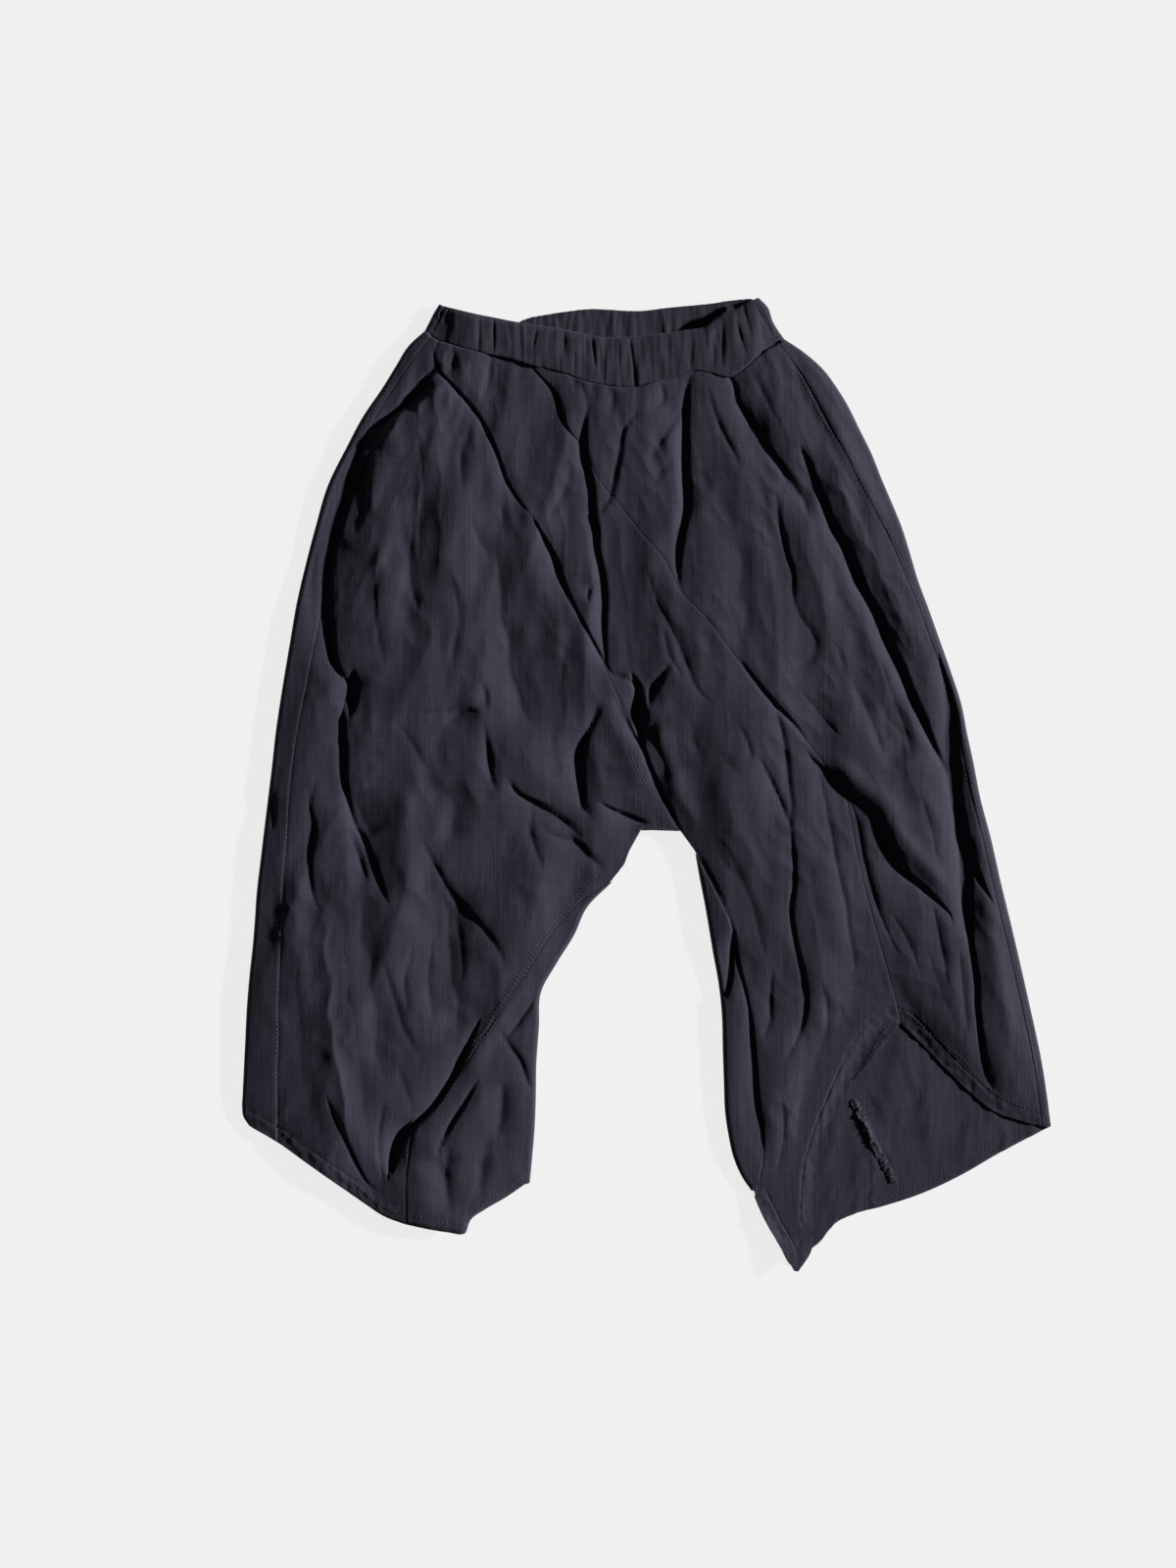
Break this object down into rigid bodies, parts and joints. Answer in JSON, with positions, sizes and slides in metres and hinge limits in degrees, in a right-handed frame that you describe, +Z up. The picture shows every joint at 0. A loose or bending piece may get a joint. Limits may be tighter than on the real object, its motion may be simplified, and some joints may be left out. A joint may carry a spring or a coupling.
{
  "type": "drop-crotch trousers laid flat",
  "caption": "Loose drop-crotch trousers in dark cloth laid flat, with a gathered elastic waist, diagonal seams, pocket mouths and pointed, notched hems",
  "frame": {"origin": "the middle of the laid garment's outline, on the surface it lies on", "axes": "+X to the right as the front is seen, +Y towards the waist, +Z up from the surface"},
  "size_m": [0.742, 0.892, 0.0209],
  "materials": {
    "cloth": "matt fine plain weave, blue-black",
    "band": "matt fine plain weave, gathered over elastic"
  },
  "bodies": {
    "root": {"left_front": "cloth", "centre_front": "cloth", "right_front": "cloth", "left_inner_leg": "cloth", "right_inner_leg": "cloth", "back_left": "cloth", "back_right": "cloth", "waistband_front": "band", "waistband_back": "band", "seam_allowance": "cloth"}
  },
  "joints": []
}
